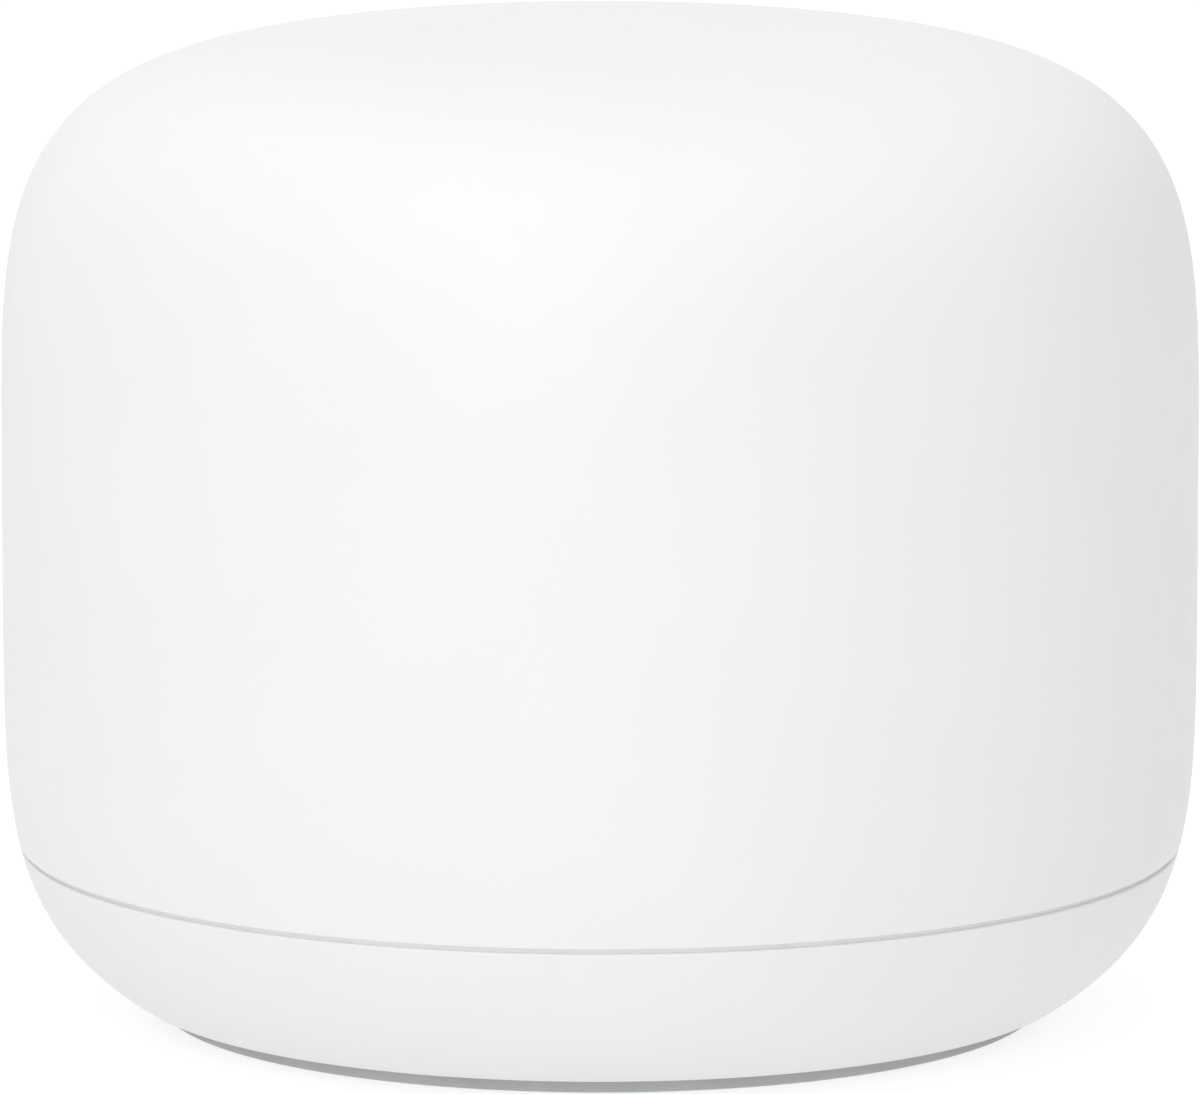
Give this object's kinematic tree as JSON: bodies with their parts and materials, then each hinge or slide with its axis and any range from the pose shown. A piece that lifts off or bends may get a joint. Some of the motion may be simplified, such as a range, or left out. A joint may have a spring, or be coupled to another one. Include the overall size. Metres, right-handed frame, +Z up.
{
  "type": "wireless router",
  "caption": "Round domed desktop wireless router on a shallow tray, with network and power sockets in a rear alcove and a recessed reset button below.",
  "frame": {"origin": "on the table under the centre of the round body", "axes": "+Z up; +Y towards the sockets at the rear, so the front with the status light faces -Y; +X to the right seen from the front"},
  "size_m": [0.11, 0.11, 0.0904],
  "materials": {
    "cover_polycarbonate": "fine spark texture",
    "tray_polycarbonate": "fine spark texture",
    "foot_silicone": "matte",
    "tape_foam": "matte",
    "button_plastic": "satin",
    "switch_nylon": "satin",
    "plunger_acetal": "satin",
    "board_solder_mask": "semi gloss",
    "chip_epoxy": "matte",
    "ferrite_composite": "satin",
    "can_aluminium": "satin",
    "crystal_can": "satin",
    "tinned_shield": "satin",
    "thermal_pad_silicone": "matte",
    "heat_sink_casting": "cast, blasted",
    "standoff_brass": "satin",
    "jack_shell_steel": "satin",
    "jack_insert_nylon": "satin",
    "contact_gold": "polished",
    "power_jack_nylon": "satin",
    "power_pin_nickel": "polished",
    "carrier_abs": "fine texture",
    "antenna_tin": "tinned",
    "coax_jacket": "satin",
    "led_package": "gloss",
    "light_pipe_acrylic": "polished",
    "ribbon_polyimide": "semi gloss",
    "connector_nylon": "satin",
    "screw_zinc": "zinc plated"
  },
  "bodies": {
    "router_body": {"top_cover": "cover_polycarbonate", "base_tray": "tray_polycarbonate", "silicone_foot": "foot_silicone", "foot_tape": "tape_foam", "reset_switch": "switch_nylon", "main_board": "board_solder_mask", "light_board": "board_solder_mask", "processor": "chip_epoxy", "memory_chips": "chip_epoxy", "flash_chip": "chip_epoxy", "radio_chips": "chip_epoxy", "power_inductors": "ferrite_composite", "ethernet_transformers": "ferrite_composite", "power_capacitors": "can_aluminium", "clock_crystals": "crystal_can", "processor_shield_frame": "tinned_shield", "radio_shield_5ghz": "tinned_shield", "radio_shield_24ghz": "tinned_shield", "processor_thermal_pad": "thermal_pad_silicone", "radio_thermal_pads": "thermal_pad_silicone", "heat_sink": "heat_sink_casting", "board_standoffs": "standoff_brass", "coax_board_sockets": "standoff_brass", "coax_plugs": "standoff_brass", "wan_jack_shell": "jack_shell_steel", "lan_jack_shell": "jack_shell_steel", "wan_jack_insert": "jack_insert_nylon", "lan_jack_insert": "jack_insert_nylon", "wan_jack_contacts": "contact_gold", "lan_jack_contacts": "contact_gold", "power_jack_housing": "power_jack_nylon", "power_jack_pin": "power_pin_nickel", "power_jack_spring": "power_pin_nickel", "antenna_carrier": "carrier_abs", "antenna_5ghz_1": "antenna_tin", "antenna_5ghz_2": "antenna_tin", "antenna_5ghz_3": "antenna_tin", "antenna_5ghz_4": "antenna_tin", "antenna_24ghz_1": "antenna_tin", "antenna_24ghz_2": "antenna_tin", "antenna_mesh_radio": "antenna_tin", "coax_lead_5ghz_1": "coax_jacket", "coax_lead_5ghz_2": "coax_jacket", "coax_lead_5ghz_3": "coax_jacket", "coax_lead_5ghz_4": "coax_jacket", "coax_lead_24ghz_1": "coax_jacket", "coax_lead_24ghz_2": "coax_jacket", "coax_lead_mesh_radio": "coax_jacket", "status_led": "led_package", "light_pipe": "light_pipe_acrylic", "light_ribbon_cable": "ribbon_polyimide", "ribbon_connector": "connector_nylon", "tray_screws": "screw_zinc", "cover_screws": "screw_zinc", "carrier_screws": "screw_zinc", "heat_sink_screws": "screw_zinc"},
    "reset_button_body": {"reset_button": "button_plastic"},
    "reset_plunger_body": {"reset_plunger": "plunger_acetal"}
  },
  "joints": [
    {"name": "reset_button_press", "type": "slide", "parent": "router_body", "child": "reset_button_body", "axis": [0, 0, 1], "range_m": [0, 0.0005], "stiffness_N_per_m": 1000, "springref_m": -0.0005},
    {"name": "reset_plunger_press", "type": "slide", "parent": "router_body", "child": "reset_plunger_body", "axis": [0, 0, 1], "range_m": [0, 0.0005]}
  ],
  "couplings": [
    {"joint": "reset_plunger_press", "follows": "reset_button_press", "ratio": 1}
  ]
}
